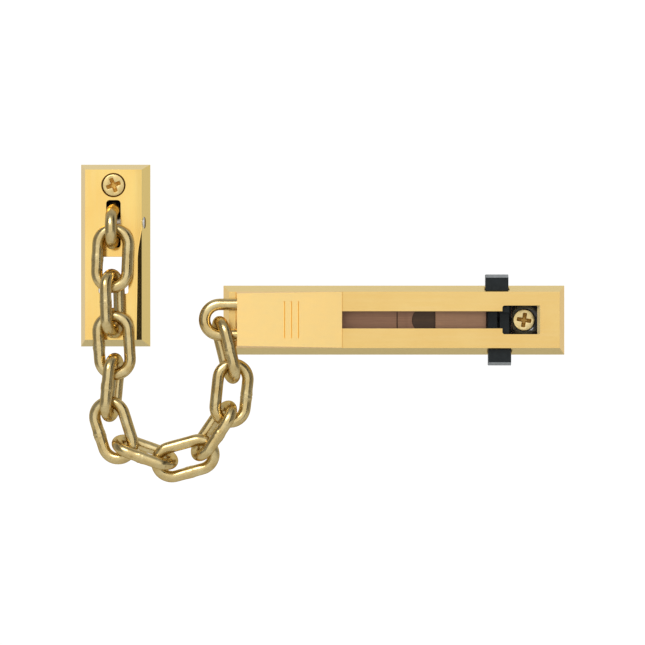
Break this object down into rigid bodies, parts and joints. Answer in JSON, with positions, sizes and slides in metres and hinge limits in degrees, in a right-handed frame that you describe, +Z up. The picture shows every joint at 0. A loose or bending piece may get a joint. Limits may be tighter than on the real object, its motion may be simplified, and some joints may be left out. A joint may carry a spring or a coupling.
{
  "type": "door chain guard",
  "caption": "Brass door chain guard: slotted rail with wedge slider and bow, welded link chain to a screwed frame plate, squeeze release tabs.",
  "frame": {"origin": "middle of the rail's back face, on the mounting plane", "axes": "+X along the rail towards its wide opening, +Y into the door, +Z up"},
  "size_m": [0.2126, 0.062, 0.1389],
  "materials": {
    "polished_brass": "polished, lacquered",
    "plain_brass": "turned, satin",
    "screw_brass": "matte plated",
    "chain_brass": "bright plated steel wire",
    "bronze_strip": "bronze-tinted steel",
    "pale_strip": "bronze-tinted steel",
    "dark_steel": "blackened",
    "spring_steel": "bright wire",
    "black_plastic": "smooth moulded"
  },
  "bodies": {
    "plates": {"frame_housing": "polished_brass", "frame_back_plate": "dark_steel", "frame_pin": "spring_steel", "frame_screws": "screw_brass", "rail_housing": "polished_brass", "rail_back_plate": "bronze_strip", "rail_stop_strip": "pale_strip", "catch_block": "black_plastic", "release_base": "black_plastic", "rail_screws": "screw_brass", "release_spring_upper": "spring_steel", "release_spring_lower": "spring_steel"},
    "slider": {"slider_block": "polished_brass", "slider_stud": "plain_brass", "slider_bow": "chain_brass", "bow_dowel": "spring_steel"},
    "chain_link_01": {"chain_link_01": "chain_brass"},
    "chain_link_02": {"chain_link_02": "chain_brass"},
    "chain_link_03": {"chain_link_03": "chain_brass"},
    "chain_link_04": {"chain_link_04": "chain_brass"},
    "chain_link_05": {"chain_link_05": "chain_brass"},
    "chain_link_06": {"chain_link_06": "chain_brass"},
    "chain_link_07": {"chain_link_07": "chain_brass"},
    "chain_link_08": {"chain_link_08": "chain_brass"},
    "chain_link_09": {"chain_link_09": "chain_brass"},
    "chain_link_10": {"chain_link_10": "chain_brass"},
    "chain_link_11": {"chain_link_11": "chain_brass"},
    "release_upper": {"release_button_upper": "black_plastic"},
    "release_lower": {"release_button_lower": "black_plastic"}
  },
  "joints": [
    {"name": "slider_travel", "type": "slide", "parent": "plates", "child": "slider", "axis": [1, 0, 0], "range_m": [0, 0.071]},
    {"name": "link_01_swing", "type": "hinge", "parent": "slider", "child": "chain_link_01", "pos_m": [-0.07595, -0.0227, -0.0009], "axis": [0, -1, 0], "range_deg": [-44.5, 1]},
    {"name": "link_02_swing", "type": "hinge", "parent": "chain_link_01", "child": "chain_link_02", "pos_m": [-0.06988, -0.0227, -0.02525], "axis": [0, -1, 0], "range_deg": [-1, 15]},
    {"name": "link_03_swing", "type": "hinge", "parent": "chain_link_02", "child": "chain_link_03", "pos_m": [-0.07118, -0.0227, -0.03769], "axis": [0, -1, 0], "range_deg": [-1, 13.5]},
    {"name": "link_04_swing", "type": "hinge", "parent": "chain_link_03", "child": "chain_link_04", "pos_m": [-0.08522, -0.0227, -0.05849], "axis": [0, -1, 0], "range_deg": [-1, 11.5]},
    {"name": "link_05_swing", "type": "hinge", "parent": "chain_link_04", "child": "chain_link_05", "pos_m": [-0.0962, -0.0227, -0.06154], "axis": [0, -1, 0], "range_deg": [-1, 8]},
    {"name": "link_06_swing", "type": "hinge", "parent": "chain_link_05", "child": "chain_link_06", "pos_m": [-0.11987, -0.0227, -0.05316], "axis": [0, -1, 0], "range_deg": [-1, 17.5]},
    {"name": "link_07_swing", "type": "hinge", "parent": "chain_link_06", "child": "chain_link_07", "pos_m": [-0.12344, -0.0227, -0.04181], "axis": [0, -1, 0], "range_deg": [-1, 14.5]},
    {"name": "link_08_swing", "type": "hinge", "parent": "chain_link_07", "child": "chain_link_08", "pos_m": [-0.12104, -0.0227, -0.01683], "axis": [0, -1, 0], "range_deg": [-7, 1]},
    {"name": "link_09_swing", "type": "hinge", "parent": "chain_link_08", "child": "chain_link_09", "pos_m": [-0.12173, -0.0227, -0.00555], "axis": [0, -1, 0], "range_deg": [-1, 2]},
    {"name": "link_10_swing", "type": "hinge", "parent": "chain_link_09", "child": "chain_link_10", "pos_m": [-0.12238, -0.0227, 0.01954], "axis": [0, -1, 0], "range_deg": [-1, 3.5]},
    {"name": "anchor_link_swing", "type": "hinge", "parent": "plates", "child": "chain_link_11", "pos_m": [-0.1224, -0.0094, 0.0425], "axis": [-1, 0, 0], "range_deg": [0, 2]},
    {"name": "release_upper", "type": "slide", "parent": "plates", "child": "release_upper", "axis": [0, 0, -1], "range_m": [0, 0.003], "stiffness_N_per_m": 400, "springref_m": -0.002, "deforming": ["release_spring_upper"]},
    {"name": "release_lower", "type": "slide", "parent": "plates", "child": "release_lower", "axis": [0, 0, 1], "range_m": [0, 0.003], "stiffness_N_per_m": 400, "springref_m": -0.002, "deforming": ["release_spring_lower"]}
  ],
  "couplings": [
    {"joint": "link_01_swing", "follows": "slider_travel", "rad_per_m": -10.794},
    {"joint": "link_02_swing", "follows": "slider_travel", "rad_per_m": 3.496},
    {"joint": "link_03_swing", "follows": "slider_travel", "rad_per_m": 3.178},
    {"joint": "link_04_swing", "follows": "slider_travel", "rad_per_m": 2.631},
    {"joint": "link_05_swing", "follows": "slider_travel", "rad_per_m": 1.806},
    {"joint": "link_06_swing", "follows": "slider_travel", "rad_per_m": 4.182},
    {"joint": "link_07_swing", "follows": "slider_travel", "rad_per_m": 3.489},
    {"joint": "link_08_swing", "follows": "slider_travel", "rad_per_m": -1.538},
    {"joint": "link_09_swing", "follows": "slider_travel", "rad_per_m": 0.322},
    {"joint": "link_10_swing", "follows": "slider_travel", "rad_per_m": 0.678}
  ]
}
